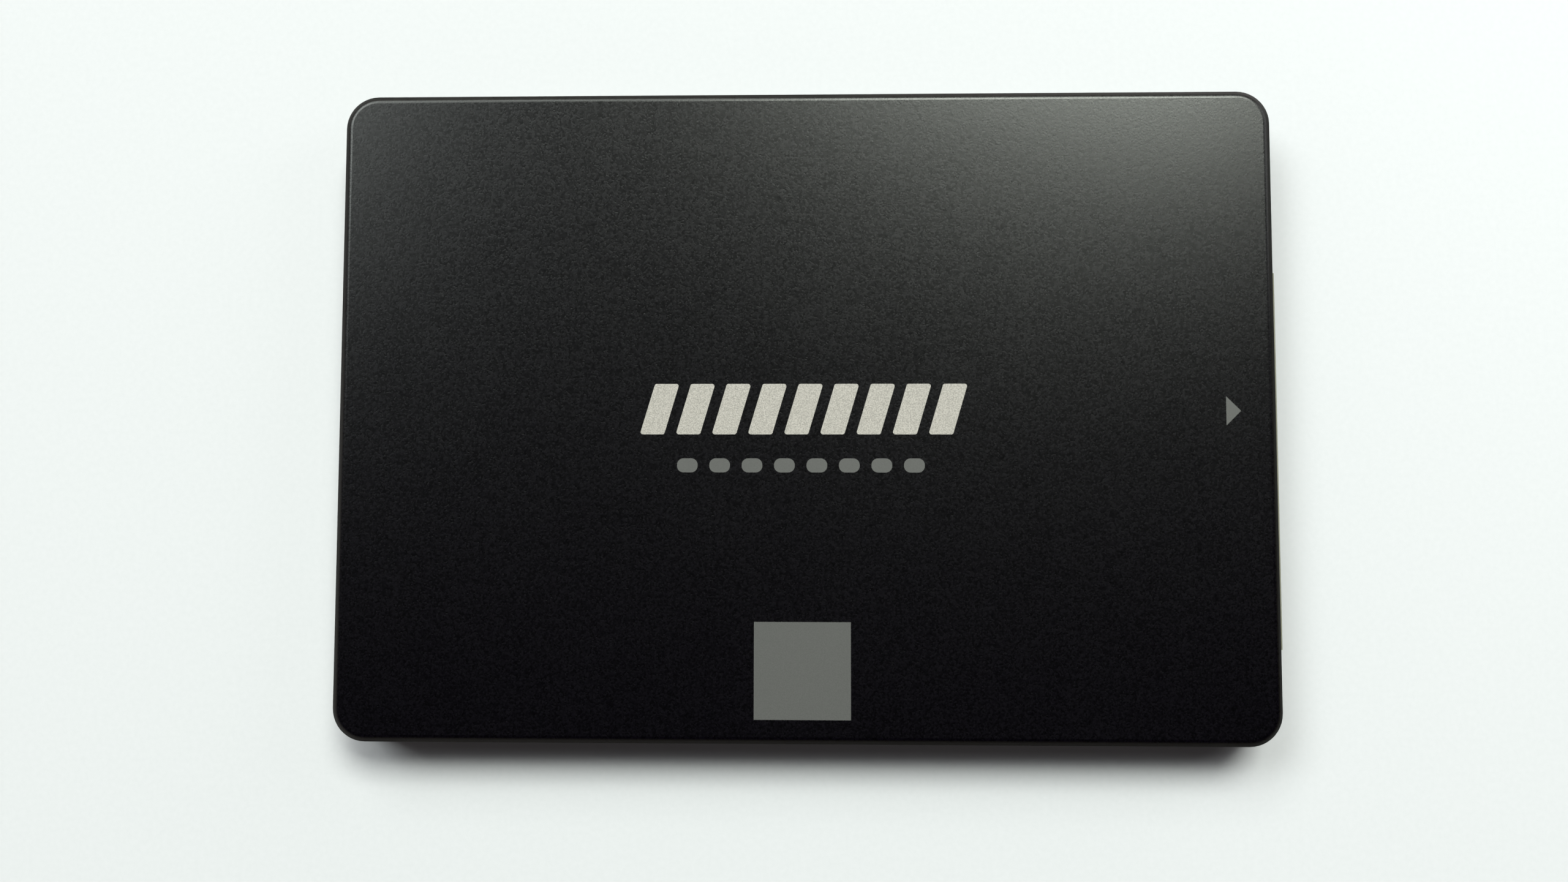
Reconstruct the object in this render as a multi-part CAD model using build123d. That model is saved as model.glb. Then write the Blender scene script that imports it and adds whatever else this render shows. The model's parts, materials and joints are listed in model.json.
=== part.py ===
from build123d import *
import os

# A 2.5-inch solid state drive of the 7 mm class, as separate pieces.
# Frame: millimetres, +Z up through the printed cover, +X towards the connector,
# origin at the centre of the underside.

# ---- driving dimensions: the case ----
total_length = 100.3        # over the case and the connector's lip
case_length = 99.8
case_width = 69.85
case_height = 6.8
corner_radius = 3.5
seam_z = 4.7                # where the tray ends and the cover starts
side_wall = 1.2
cover_plate = 1.1
cover_side_inset = 0.17     # the cover is a little narrower than the tray
edge_chamfer_width = 0.52   # along the printed face
edge_chamfer_drop = 0.33    # down the side
edge_softening = 0.9        # radius between the printed face and its chamfer
tray_floor = 0.95
tray_edge_chamfer = 0.35
fit_gap = 0.05

# ---- driving dimensions: holes for mounting ----
first_hole_from_end = 14.0
second_hole_from_end = 90.6
bottom_hole_spread = 61.72
side_hole_z = 3.0
mount_hole_radius = 1.25    # the tapping size of an M3 thread
mount_hole_rim = 0.25
bottom_hole_depth = 3.2
side_hole_depth = 2.5
mount_boss_half_length = 3.8
mount_boss_reach = 7.8      # from the side of the case inwards

# ---- driving dimensions: label and case screws ----
label_size = (88.0, 55.0)
label_centre_x = -3.2
label_corner = 1.2
label_recess = 0.15
label_thickness = 0.1
label_edge_gap = 0.15       # between the label and the wall of its recess
case_screw_places = [(-43.9, 0.0), (8.0, 24.0), (8.0, -24.0)]   # the first lies behind the board
case_screw_radius = 0.9
case_screw_head = (1.75, 0.75)      # radius, height
case_screw_head_bevel = 0.19
case_screw_socket = (0.75, 0.38)    # radius, depth
case_screw_lobes = 5
case_screw_pocket = (1.9, 0.95)     # radius, depth from the label recess
case_screw_tip_z = 4.9
tray_boss_radius = 3.0
tray_boss_top = 2.2
cover_boss_radius = 2.1
cover_boss_bore_top = 5.2

# ---- driving dimensions: circuit board ----
board_bottom_z = 2.42
board_thickness = 1.0
board_rear_x = -15.0
board_front_x = 42.85
board_half_width = 31.5
board_neck_x = 31.2         # the board is narrower from here to the connector
board_neck_half_width = 26.8
board_corner = 1.0
board_screw_places = [(-11.4, 27.9), (-11.4, -27.9), (27.2, 27.9), (27.2, -27.9)]
board_screw_radius = 0.75
board_screw_head = (1.6, 0.8)       # radius, height
board_screw_head_rounding = 0.27
board_screw_slot = (2.08, 0.48, 0.4)    # length, width, depth
board_post_radius = 2.3
board_boss_hole_radius = 2.5

# ---- driving dimensions: connector ----
connector_centre_y = -4.8
connector_width = 40.0
connector_back_wall = 1.6
connector_arm = 2.2
connector_bottom_z = 0.6
connector_roof_underside_z = 4.75
connector_arm_setback = 0.5
connector_saddle_length = 2.8
connector_saddle_height = 1.2
connector_peg_radius = 0.6
connector_peg_inset = 4.4
connector_arm_bevel = 0.55
connector_lip_rounding = 0.22
hold_down_thickness = 0.3
hold_down_margin = 0.4
blade_depth = 4.9
blade_tip_setback = 0.6     # from the front of the lip
blade_top_z = 3.5
blade_thickness = 1.23
blade_tip_bevel = 0.2
blade_span = 33.39          # over both blades
signal_blade_width = 10.41
power_blade_width = 20.66
key_drop = 2.4              # height of the key at each blade's inner end
key_thickness = 1.2
contact_pitch = 1.27
contact_width = 0.84
contact_tail_width = 0.5
contact_thickness = 0.25
contact_proud = 0.1
contact_tail_length = 3.7
signal_contacts = 7
power_contacts = 15
contact_setbacks = {"first": 0.5, "second": 1.0, "last": 1.5}   # from the blade's tip
first_power_pins = (4, 12)
second_signal_pins = (1, 4, 7)
second_power_pins = (3, 5, 6, 7, 10, 13)

# ---- driving dimensions: chips, as length along X, width along Y, height ----
controller_place = (22.0, -2.0)
controller_size = (15.0, 15.0, 1.4)
working_memory_place = (22.0, 14.0)
working_memory_size = (10.0, 9.0, 1.0)
flash_places = [(0.0, 12.0), (0.0, -12.0)]
flash_upper_size = (14.0, 18.0, 1.2)
flash_lower_size = (14.0, 18.0, 1.0)
power_chip_place = (35.2, 21.5)
power_chip_size = (5.0, 5.0, 0.9)
boot_memory_place = (35.2, -9.0)
boot_memory_size = (3.9, 4.9, 1.4)
crystal_place = (35.2, -2.5)
crystal_size = (3.2, 2.5, 0.8)
crystal_corner = 0.4
crystal_softening = 0.1
regulator_places = [(15.0, 24.6), (19.8, 24.6)]
regulator_size = (2.9, 1.3, 1.0)
pad_margin = 1.0            # a thermal pad is this much smaller all round than its chip
chip_bevel_share = 0.1      # of a chip's height
chip_dimple_share = 0.25    # the radius of the dimple at pin 1, of a chip's height

# ---- driving dimensions: parts with two terminals ----
inductor_places = [(35.2, 15.6), (35.2, 10.4), (35.2, 5.2)]
inductor_size = (4.0, 4.0, 1.9)
bulk_capacitor_places = [(33.0, -15.6), (33.0, -20.4), (37.2, -15.6), (37.2, -20.4)]
bulk_capacitor_size = (2.8, 3.5, 1.9)
fuse_place = (39.0, 21.5)
fuse_size = (3.2, 1.6, 0.9)
capacitor_size = (0.8, 1.6, 0.8)
resistor_size = (0.5, 1.0, 0.35)
end_cap_share = 0.2         # of a small part's length
terminal_thickness = 0.15
terminal_width_share = 0.75     # of the body it is bent round
terminal_foot_share = 0.25      # of that body's length
inductor_corner = 0.5
bulk_capacitor_bevel = 0.16

# ---- driving dimensions: leads ----
lead_width = 0.4
lead_thickness = 0.2
lead_shoulder = 0.4
package_standoff = 0.1
boot_memory_lead_reach = 1.05
boot_memory_lead_pitch = 1.27
boot_memory_leads_per_side = 4
regulator_lead_reach = 0.55
regulator_lead_offset = 0.95

# ---- driving dimensions: rows of small parts; a run is its first place, pitch and count ----
controller_column_x = 10.6
controller_column_run = (-9.2, 2.4, 7)
controller_row_y = 7.6
controller_row_run = (16.0, 3.0, 5)
flash_column_x = -9.6
flash_column_run = (-20.0, 4.0, 11)
memory_column_xs = (14.9, 29.1)
memory_column_run = (11.0, 3.0, 3)
underside_row_run = (-7.0, 3.3, 4)
resistor_row_y = -11.8
resistor_row_run = (16.0, 2.0, 7)
resistor_column_x = 30.4
resistor_column_run = (-8.6, 1.7, 10)

# ---- values that follow ----
case_rear = -total_length / 2
case_front = case_rear + case_length
case_centre_x = (case_rear + case_front) / 2
lip_front = total_length / 2
half_width = case_width / 2
ceiling_z = case_height - cover_plate
board_top_z = board_bottom_z + board_thickness
hole_xs = (case_front - first_hole_from_end, case_front - second_hole_from_end)
hole_y = bottom_hole_spread / 2
blade_tip_x = lip_front - blade_tip_setback
blade_root_x = blade_tip_x - blade_depth
connector_back_x = blade_root_x - connector_back_wall
connector_low_y = connector_centre_y - connector_width / 2
connector_high_y = connector_centre_y + connector_width / 2
blade_bottom_z = blade_top_z - blade_thickness


# ---- shared shapes ----
def block(x, y, z):
    """A box between its lowest and highest value along each axis."""
    ranges = (x, y, z)
    centre = [(low + high) / 2 for low, high in ranges]
    size = [high - low for low, high in ranges]
    return Pos(*centre) * Box(*size)


def rounded_block(x, y, z, radius):
    """A block whose four upright edges are rounded."""
    solid = block(x, y, z)
    return fillet(solid.edges().filter_by(Axis.Z), radius)


def centred_block(x, y, z_low, size):
    """A box that stands on z_low, centred on x and y."""
    length, width, height = size
    return Pos(x, y, z_low + height / 2) * Box(length, width, height)


def run(first, pitch, count):
    """Evenly spaced values."""
    return [first + pitch * step for step in range(count)]


def upright(x, y, radius, z_low, z_high):
    """A cylinder along Z."""
    return Pos(x, y, (z_low + z_high) / 2) * Cylinder(radius, z_high - z_low)


def case_block(side_inset, end_inset, z_low, z_high):
    """A block with the outline of the case, moved inwards by the two insets."""
    return rounded_block(
        (case_rear + end_inset, case_front - end_inset),
        (-half_width + side_inset, half_width - side_inset),
        (z_low, z_high),
        corner_radius - min(side_inset, end_inset),
    )


def save(name, pieces):
    """Write one node, which may hold several separate solids."""
    solids = pieces if isinstance(pieces, list) else [pieces]
    export_step(Compound(children=solids), f"parts/{name}.step")


# ---- case ----
def mount_boss_blocks(margin):
    """The solid corners around the mounting holes, made larger by the margin."""
    reach = half_width - mount_boss_reach - margin
    half_length = mount_boss_half_length + margin
    blocks = []
    for x in hole_xs:
        for inner, outer in ((reach, half_width - side_wall), (side_wall - half_width, -reach)):
            blocks.append(block((x - half_length, x + half_length), (inner, outer), (tray_floor, seam_z)))
    return blocks


def mount_holes():
    """Four bottom holes and four side holes, each with a small conical rim."""
    rim_radius = mount_hole_radius + mount_hole_rim
    bottom = Pos(0, 0, bottom_hole_depth / 2) * Cylinder(mount_hole_radius, bottom_hole_depth)
    bottom += Pos(0, 0, mount_hole_rim / 2) * Cone(rim_radius, mount_hole_radius, mount_hole_rim)
    side = Pos(0, 0, side_hole_depth / 2) * Cylinder(mount_hole_radius, side_hole_depth)
    side += Pos(0, 0, mount_hole_rim / 2) * Cone(rim_radius, mount_hole_radius, mount_hole_rim)
    holes = []
    for x in hole_xs:
        for turn, sign in ((90, 1), (-90, -1)):
            holes.append(Pos(x, sign * hole_y, 0) * bottom)
            holes.append(Pos(x, sign * half_width, side_hole_z) * Rot(turn, 0, 0) * side)
    return holes


def connector_opening(margin, z_low, z_high):
    """The space in the case that the connector fills."""
    return block(
        (connector_back_x - margin, lip_front),
        (connector_low_y - margin, connector_high_y + margin),
        (z_low, z_high),
    )


def label_block(z_low, z_high, shrink):
    """The outline of the label, made smaller by shrink all round."""
    half_length = label_size[0] / 2 - shrink
    half_breadth = label_size[1] / 2 - shrink
    x = (label_centre_x - half_length, label_centre_x + half_length)
    return rounded_block(x, (-half_breadth, half_breadth), (z_low, z_high), label_corner)


def base_tray():
    """The lower half of the case, with its walls, bosses and board posts."""
    tray = case_block(0, 0, 0, seam_z)
    tray = chamfer(tray.faces().sort_by(Axis.Z)[0].edges(), tray_edge_chamfer)
    tray -= case_block(side_wall, side_wall, tray_floor, seam_z)
    for boss in mount_boss_blocks(0):
        tray += boss
    for x, y in case_screw_places:
        tray += upright(x, y, tray_boss_radius, tray_floor / 2, tray_boss_top)
    for x, y in board_screw_places:
        tray += upright(x, y, board_post_radius, tray_floor / 2, board_bottom_z)
    tray -= label_block(0, label_recess, 0)
    pocket_radius, pocket_depth = case_screw_pocket
    for x, y in case_screw_places:
        tray -= upright(x, y, pocket_radius, 0, label_recess + pocket_depth)
        tray -= upright(x, y, case_screw_radius + fit_gap, 0, tray_boss_top)
    for x, y in board_screw_places:
        tray -= upright(x, y, board_screw_radius, tray_floor, board_bottom_z)
    tray -= connector_opening(fit_gap, 0, seam_z)
    for hole in mount_holes():
        tray -= hole
    return tray


def cover_lip():
    """The inner rim of the cover, which drops inside the walls of the tray."""
    outer_inset = side_wall + fit_gap
    inner_inset = outer_inset + side_wall / 2
    lip_z = seam_z - side_wall / 2
    lip = case_block(outer_inset, outer_inset, lip_z, ceiling_z)
    lip -= case_block(inner_inset, inner_inset, lip_z, ceiling_z)
    for boss in mount_boss_blocks(fit_gap):
        lip -= boss
    return lip


def top_cover():
    """The upper half of the case: a plate with short walls and three screw bosses."""
    cover = case_block(cover_side_inset, 0, seam_z, case_height)
    face = cover.faces().sort_by(Axis.Z)[-1]
    cover = chamfer(face.edges(), edge_chamfer_width, edge_chamfer_drop, reference=face)
    cover = fillet(cover.faces().sort_by(Axis.Z)[-1].edges(), edge_softening)
    cover -= case_block(side_wall + fit_gap, side_wall + fit_gap, seam_z, ceiling_z)
    cover += cover_lip()
    for x, y in case_screw_places:
        cover += upright(x, y, cover_boss_radius, tray_boss_top, ceiling_z + cover_plate / 2)
        cover -= upright(x, y, case_screw_radius, tray_boss_top, cover_boss_bore_top)
    cover -= connector_opening(fit_gap, 0, ceiling_z)
    return cover


def case_screw(x, y):
    """A short screw with a low round head and a five-lobed socket."""
    head_radius, head_height = case_screw_head
    head_z = label_recess + case_screw_pocket[1] - head_height
    head_top = head_z + head_height
    screw = upright(x, y, head_radius, head_z, head_top)
    screw = chamfer(screw.faces().sort_by(Axis.Z)[0].edges(), case_screw_head_bevel)
    screw += upright(x, y, case_screw_radius, head_top, case_screw_tip_z)
    socket_radius, socket_depth = case_screw_socket
    lobe_radius = socket_radius / 2
    for lobe in PolarLocations(socket_radius - lobe_radius, case_screw_lobes):
        screw -= Pos(x, y, head_z + socket_depth / 2) * lobe * Cylinder(lobe_radius, socket_depth)
    return screw


def bottom_label():
    """The adhesive label in the recess of the tray."""
    return label_block(label_recess - label_thickness, label_recess, label_edge_gap)


# ---- circuit board ----
def circuit_board():
    """The board, narrower towards the connector, with holes for bosses, screws and pegs."""
    z = (board_bottom_z, board_top_z)
    body_y = (-board_half_width, board_half_width)
    neck_y = (-board_neck_half_width, board_neck_half_width)
    board = rounded_block((board_rear_x, board_neck_x), body_y, z, board_corner)
    board += block((board_neck_x - board_corner, board_front_x), neck_y, z)
    for x, y in case_screw_places[1:]:
        board -= upright(x, y, board_boss_hole_radius, *z)
    for x, y in board_screw_places:
        board -= upright(x, y, board_screw_radius, *z)
    for x, y in connector_peg_places():
        board -= upright(x, y, connector_peg_radius, *z)
    return board


def board_screw(x, y):
    """A small pan-head screw with a cross slot."""
    head_radius, head_height = board_screw_head
    head_top = board_top_z + head_height
    screw = upright(x, y, head_radius, board_top_z, head_top)
    screw = fillet(screw.faces().sort_by(Axis.Z)[-1].edges(), board_screw_head_rounding)
    screw += upright(x, y, board_screw_radius, tray_floor, board_top_z)
    length, width, depth = board_screw_slot
    for turn in (0, 90):
        screw -= Pos(x, y, head_top - depth / 2) * Rot(0, 0, turn) * Box(length, width, depth)
    return screw


# ---- connector ----
def connector_peg_places():
    """The two pegs that locate the connector on the board."""
    x = connector_back_x - connector_saddle_length / 2
    return [(x, connector_low_y + connector_peg_inset), (x, connector_high_y - connector_peg_inset)]


def blade_ranges():
    """The lowest and highest y of the signal blade and of the power blade."""
    low = connector_centre_y - blade_span / 2
    high = connector_centre_y + blade_span / 2
    return (low, low + signal_blade_width), (high - power_blade_width, high)


def contact_centres(blade, key_at_high_end, count):
    """Where the contacts stand, spread evenly over the blade beside its key."""
    low, high = blade
    if key_at_high_end:
        high -= key_thickness
    else:
        low += key_thickness
    first = (low + high - (count - 1) * contact_pitch) / 2
    return [first + number * contact_pitch for number in range(count)]


def contact(y, setback):
    """One flat contact, from its tip on the blade to its tail under the board."""
    low = blade_bottom_z - contact_proud
    z = (low, low + contact_thickness)
    half = contact_width / 2
    half_tail = contact_tail_width / 2
    tip = block((blade_root_x, blade_tip_x - setback), (y - half, y + half), z)
    front_edges = tip.edges().filter_by(Axis.Y).sort_by(Axis.X)[-2:]
    tip = chamfer(front_edges.sort_by(Axis.Z)[0], contact_proud)
    tail_end = connector_back_x - contact_tail_length + connector_back_wall
    return tip + block((tail_end, blade_root_x), (y - half_tail, y + half_tail), z)


def signal_contact_set():
    """The seven data contacts, with pin 1 farthest from the power blade."""
    centres = contact_centres(blade_ranges()[0], True, signal_contacts)
    pieces = []
    for pin, y in enumerate(centres, start=1):
        rank = "second" if pin in second_signal_pins else "last"
        pieces.append(contact(y, contact_setbacks[rank]))
    return pieces


def power_contact_set():
    """The fifteen power contacts, with pin 1 beside the key."""
    centres = contact_centres(blade_ranges()[1], False, power_contacts)
    pieces = []
    for pin, y in enumerate(centres, start=1):
        rank = "last"
        if pin in first_power_pins:
            rank = "first"
        elif pin in second_power_pins:
            rank = "second"
        pieces.append(contact(y, contact_setbacks[rank]))
    return pieces


def blade(y_range, key_at_high_end):
    """A flat blade with its key, which hangs down at the inner end."""
    low, high = y_range
    plate = block((blade_root_x, blade_tip_x), y_range, (blade_bottom_z, blade_top_z))
    key_y = (high - key_thickness, high) if key_at_high_end else (low, low + key_thickness)
    solid = plate + block((blade_root_x, blade_tip_x), key_y, (blade_top_z - key_drop, blade_top_z))
    tip_edges = solid.faces().sort_by(Axis.X)[-1].edges()
    return chamfer(tip_edges, blade_tip_bevel)


def connector_housing():
    """The plug's plastic body: back wall, roof with its lip, two arms and two keyed blades."""
    wall_z = (connector_bottom_z, connector_roof_underside_z)
    full_y = (connector_low_y, connector_high_y)
    roof_top = ceiling_z - fit_gap
    roof = block((connector_back_x, lip_front), full_y, (connector_roof_underside_z, roof_top))
    lip_edges = roof.edges().filter_by(Axis.Y).sort_by(Axis.X)[-2:]
    roof = fillet(lip_edges, connector_lip_rounding)
    housing = roof + block((connector_back_x, blade_root_x), full_y, wall_z)
    arm_x = (connector_back_x, lip_front - connector_arm_setback)
    for low in (connector_low_y, connector_high_y - connector_arm):
        housing += lead_in_arm(block(arm_x, (low, low + connector_arm), wall_z))
    signal_range, power_range = blade_ranges()
    housing += blade(signal_range, True)
    housing += blade(power_range, False)
    housing += connector_saddle()
    for piece in signal_contact_set() + power_contact_set() + connector_hold_downs():
        housing -= piece
    return housing


def lead_in_arm(arm):
    """Bevel the front of a guide arm, so that a plug finds its way in."""
    front_edges = arm.faces().sort_by(Axis.X)[-1].edges().filter_by(Axis.Z)
    return chamfer(front_edges, connector_arm_bevel)


def connector_saddle():
    """The rear foot of the housing, which sits on the board, with its two pegs."""
    x = (connector_back_x - connector_saddle_length, connector_back_x)
    y = (connector_low_y + connector_arm, connector_high_y - connector_arm)
    saddle = block(x, y, (board_top_z, board_top_z + connector_saddle_height))
    for peg_x, peg_y in connector_peg_places():
        saddle += upright(peg_x, peg_y, connector_peg_radius, board_bottom_z, board_top_z)
    return saddle


def connector_hold_downs():
    """Two metal tabs, which run from the housing's ends onto the board."""
    tab_x = (connector_back_x - connector_saddle_length, connector_back_x + connector_back_wall / 2)
    tab_z = (board_top_z, board_top_z + hold_down_thickness)
    tabs = []
    for arm_low_y in (connector_low_y, connector_high_y - connector_arm):
        tab_y = (arm_low_y + hold_down_margin, arm_low_y + connector_arm - hold_down_margin)
        tabs.append(block(tab_x, tab_y, tab_z))
    return tabs


# ---- chips ----
def chip(place, size, z_low, facing_up=True):
    """A moulded package with bevelled edges on its marked face and a dimple at pin 1."""
    length, width, height = size
    body = centred_block(*place, z_low, size)
    marked_face = body.faces().sort_by(Axis.Z)[-1 if facing_up else 0]
    bevel = height * chip_bevel_share
    body = chamfer(marked_face.edges(), bevel)
    dimple_z = z_low + height if facing_up else z_low
    dimple_x = place[0] - length / 2 + height
    dimple_y = place[1] + width / 2 - height
    return body - Pos(dimple_x, dimple_y, dimple_z) * Cylinder(height * chip_dimple_share, bevel)


def flash_chip(number):
    """One of the four flash packages: two on the board, two under it."""
    place = flash_places[number % len(flash_places)]
    if number < len(flash_places):
        return chip(place, flash_upper_size, board_top_z)
    return chip(place, flash_lower_size, board_bottom_z - flash_lower_size[2], facing_up=False)


def thermal_pad(place, chip_size, z_low, z_high):
    """A soft pad that fills the gap over or under a chip."""
    length, width, _ = chip_size
    size = (length - pad_margin * 2, width - pad_margin * 2, z_high - z_low)
    return centred_block(*place, z_low, size)


def gull_wing_lead(x_body, x_foot, y, z_shoulder):
    """A thin lead that leaves the body level, drops, and ends flat on the board."""
    direction = 1 if x_foot > x_body else -1
    x_drop = x_body + direction * lead_shoulder
    x_inner = x_drop - direction * lead_thickness
    y_range = (y - lead_width / 2, y + lead_width / 2)
    shoulder_top = z_shoulder + lead_thickness
    lead = block(sorted((x_body, x_drop)), y_range, (z_shoulder, shoulder_top))
    lead += block(sorted((x_inner, x_drop)), y_range, (board_top_z, shoulder_top))
    return lead + block(sorted((x_inner, x_foot)), y_range, (board_top_z, board_top_z + lead_thickness))


def boot_memory_body():
    """The small eight-lead package that holds the start-up program."""
    return chip(boot_memory_place, boot_memory_size, board_top_z + package_standoff)


def boot_memory_leads():
    """Four leads on each long side of the boot memory."""
    x, y = boot_memory_place
    half_length = boot_memory_size[0] / 2
    reach = half_length + boot_memory_lead_reach
    shoulder_z = board_top_z + boot_memory_size[2] / 2
    first_y = y - boot_memory_lead_pitch * (boot_memory_leads_per_side - 1) / 2
    leads = []
    for side in (-1, 1):
        for lead_y in run(first_y, boot_memory_lead_pitch, boot_memory_leads_per_side):
            leads.append(gull_wing_lead(x + side * half_length, x + side * reach, lead_y, shoulder_z))
    return leads


def regulator_bodies():
    """Two three-lead packages."""
    return [chip(place, regulator_size, board_top_z + package_standoff) for place in regulator_places]


def regulator_leads():
    """Two leads on one side of each regulator and one on the other."""
    leads = []
    for x, y in regulator_places:
        for side, offsets in ((1, (-regulator_lead_offset, regulator_lead_offset)), (-1, (0,))):
            for offset in offsets:
                body_y = y + side * regulator_size[1] / 2
                foot_y = body_y + side * regulator_lead_reach
                y_range = sorted((body_y, foot_y))
                x_range = (x + offset - lead_width / 2, x + offset + lead_width / 2)
                leads.append(block(x_range, y_range, (board_top_z, board_top_z + lead_thickness)))
    return leads


def crystal_can():
    """The sealed metal can of the clock crystal."""
    can = centred_block(*crystal_place, board_top_z, crystal_size)
    can = fillet(can.edges().filter_by(Axis.Z), crystal_corner)
    return fillet(can.faces().sort_by(Axis.Z)[-1].edges(), crystal_softening)


# ---- parts with two terminals ----
def capacitor_places():
    """Where the ceramic capacitors stand on the board, in rows beside the chips."""
    places = [(controller_column_x, y) for y in run(*controller_column_run)]
    places += [(flash_column_x, y) for y in run(*flash_column_run)]
    places += [(x, y) for x in memory_column_xs for y in run(*memory_column_run)]
    places += [(x, controller_row_y) for x in run(*controller_row_run)]
    return places


def capacitor_places_below():
    """The ceramic capacitors under the controller."""
    return [(x, y) for x in run(*controller_row_run) for y in run(*underside_row_run)]


def resistor_places():
    """The resistors: a row beside the controller and a column by the board's neck."""
    places = [(x, resistor_row_y) for x in run(*resistor_row_run)]
    places += [(resistor_column_x, y) for y in run(*resistor_column_run)]
    return places


def two_terminal_body(place, z_low, size):
    """The middle of a small part, between its two metal ends, which lie along Y."""
    length, width, height = size
    return centred_block(*place, z_low, (length, width * (1 - 2 * end_cap_share), height))


def two_terminal_ends(place, z_low, size):
    """The two metal ends of a small part."""
    x, y = place
    length, width, height = size
    end = width * end_cap_share
    offset = (width - end) / 2
    return [centred_block(x, y + side * offset, z_low, (length, end, height)) for side in (-1, 1)]


def capacitor_sites():
    """Place and lowest z of every ceramic capacitor, on and under the board."""
    above = [(place, board_top_z) for place in capacitor_places()]
    below = [(place, board_bottom_z - capacitor_size[2]) for place in capacitor_places_below()]
    return above + below


def resistor_sites():
    """Place and lowest z of every resistor."""
    return [(place, board_top_z) for place in resistor_places()]


def two_terminal_bodies(sites, size):
    """The middles of a group of equal small parts."""
    return [two_terminal_body(place, z_low, size) for place, z_low in sites]


def all_terminal_ends(sites, size):
    """The metal ends of a group of equal small parts."""
    return [end for place, z_low in sites for end in two_terminal_ends(place, z_low, size)]


def fuse_along_y():
    """The fuse's size, with its length along Y as for the other small parts."""
    length, width, height = fuse_size
    return (width, length, height)


def inductor_body(place):
    """A square ferrite block with rounded corners, standing on its terminals."""
    length, width, height = inductor_size
    size = (length, width, height - terminal_thickness)
    body = centred_block(*place, board_top_z + terminal_thickness, size)
    return fillet(body.edges().filter_by(Axis.Z), inductor_corner)


def bulk_capacitor_body(place):
    """A moulded block between its two bent terminals."""
    length, width, height = bulk_capacitor_size
    size = (length, width - terminal_thickness * 2, height - terminal_thickness)
    body = centred_block(*place, board_top_z + terminal_thickness, size)
    return chamfer(body.faces().sort_by(Axis.Z)[-1].edges(), bulk_capacitor_bevel)


def bent_terminals(place, size, rise):
    """Two terminals along Y: a foot under the body and a plate up its end."""
    x, y = place
    length, width, _ = size
    breadth = length * terminal_width_share
    foot = (breadth, width * terminal_foot_share, terminal_thickness)
    plate = (breadth, terminal_thickness, rise)
    terminals = []
    for side in (-1, 1):
        terminal = centred_block(x, y + side * (width - foot[1]) / 2, board_top_z, foot)
        terminal += centred_block(x, y + side * (width - plate[1]) / 2, board_top_z, plate)
        terminals.append(terminal)
    return terminals


def inductor_terminals():
    """Flat terminals under both ends of each inductor."""
    return [
        terminal
        for place in inductor_places
        for terminal in bent_terminals(place, inductor_size, terminal_thickness)
    ]


def bulk_capacitor_terminals():
    """Bent terminals at both ends of each bulk capacitor."""
    return [
        terminal
        for place in bulk_capacitor_places
        for terminal in bent_terminals(place, bulk_capacitor_size, bulk_capacitor_size[2] / 2)
    ]


os.makedirs("parts", exist_ok=True)
save("base_tray", base_tray())
save("top_cover", top_cover())
save("case_screws", [case_screw(x, y) for x, y in case_screw_places])
save("bottom_label", bottom_label())
save("circuit_board", circuit_board())
save("board_screws", [board_screw(x, y) for x, y in board_screw_places])
save("connector_housing", connector_housing())
save("signal_contacts", signal_contact_set())
save("power_contacts", power_contact_set())
save("connector_hold_downs", connector_hold_downs())

controller_top_z = board_top_z + controller_size[2]
flash_top_z = board_top_z + flash_upper_size[2]
flash_low_z = board_bottom_z - flash_lower_size[2]
save("controller_chip", chip(controller_place, controller_size, board_top_z))
save("working_memory_chip", chip(working_memory_place, working_memory_size, board_top_z))
for number in range(2 * len(flash_places)):
    save(f"flash_chip_{number + 1}", flash_chip(number))
save("power_chip", chip(power_chip_place, power_chip_size, board_top_z))
save("boot_memory_chip", boot_memory_body())
save("boot_memory_leads", boot_memory_leads())
save("regulator_chips", regulator_bodies())
save("regulator_leads", regulator_leads())
save("crystal_can", crystal_can())
save("controller_pad", thermal_pad(controller_place, controller_size, controller_top_z, ceiling_z))
save("flash_pads_upper", [thermal_pad(p, flash_upper_size, flash_top_z, ceiling_z) for p in flash_places])
save("flash_pads_lower", [thermal_pad(p, flash_lower_size, tray_floor, flash_low_z) for p in flash_places])
save("inductor_cores", [inductor_body(place) for place in inductor_places])
save("inductor_terminals", inductor_terminals())
save("bulk_capacitors", [bulk_capacitor_body(place) for place in bulk_capacitor_places])
save("bulk_capacitor_terminals", bulk_capacitor_terminals())
save("ceramic_capacitors", two_terminal_bodies(capacitor_sites(), capacitor_size))
save("ceramic_capacitor_ends", all_terminal_ends(capacitor_sites(), capacitor_size))
save("resistors", two_terminal_bodies(resistor_sites(), resistor_size))
save("resistor_ends", all_terminal_ends(resistor_sites(), resistor_size))
save("fuse", two_terminal_body(fuse_place, board_top_z, fuse_along_y()))
save("fuse_ends", two_terminal_ends(fuse_place, board_top_z, fuse_along_y()))
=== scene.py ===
import json
import math

import bmesh
import bpy
from mathutils import Matrix, Vector


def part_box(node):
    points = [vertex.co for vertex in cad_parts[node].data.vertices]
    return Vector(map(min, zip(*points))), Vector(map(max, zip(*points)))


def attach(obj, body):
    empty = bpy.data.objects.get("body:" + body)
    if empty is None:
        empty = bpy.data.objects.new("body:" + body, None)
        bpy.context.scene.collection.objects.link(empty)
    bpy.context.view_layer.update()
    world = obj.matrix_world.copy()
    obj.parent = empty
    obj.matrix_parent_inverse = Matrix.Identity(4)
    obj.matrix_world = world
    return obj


# The looks of a 2.5-inch solid state drive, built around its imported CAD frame.
# Lengths are metres, and small ones are written as a number of millimetres times MM.

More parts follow.
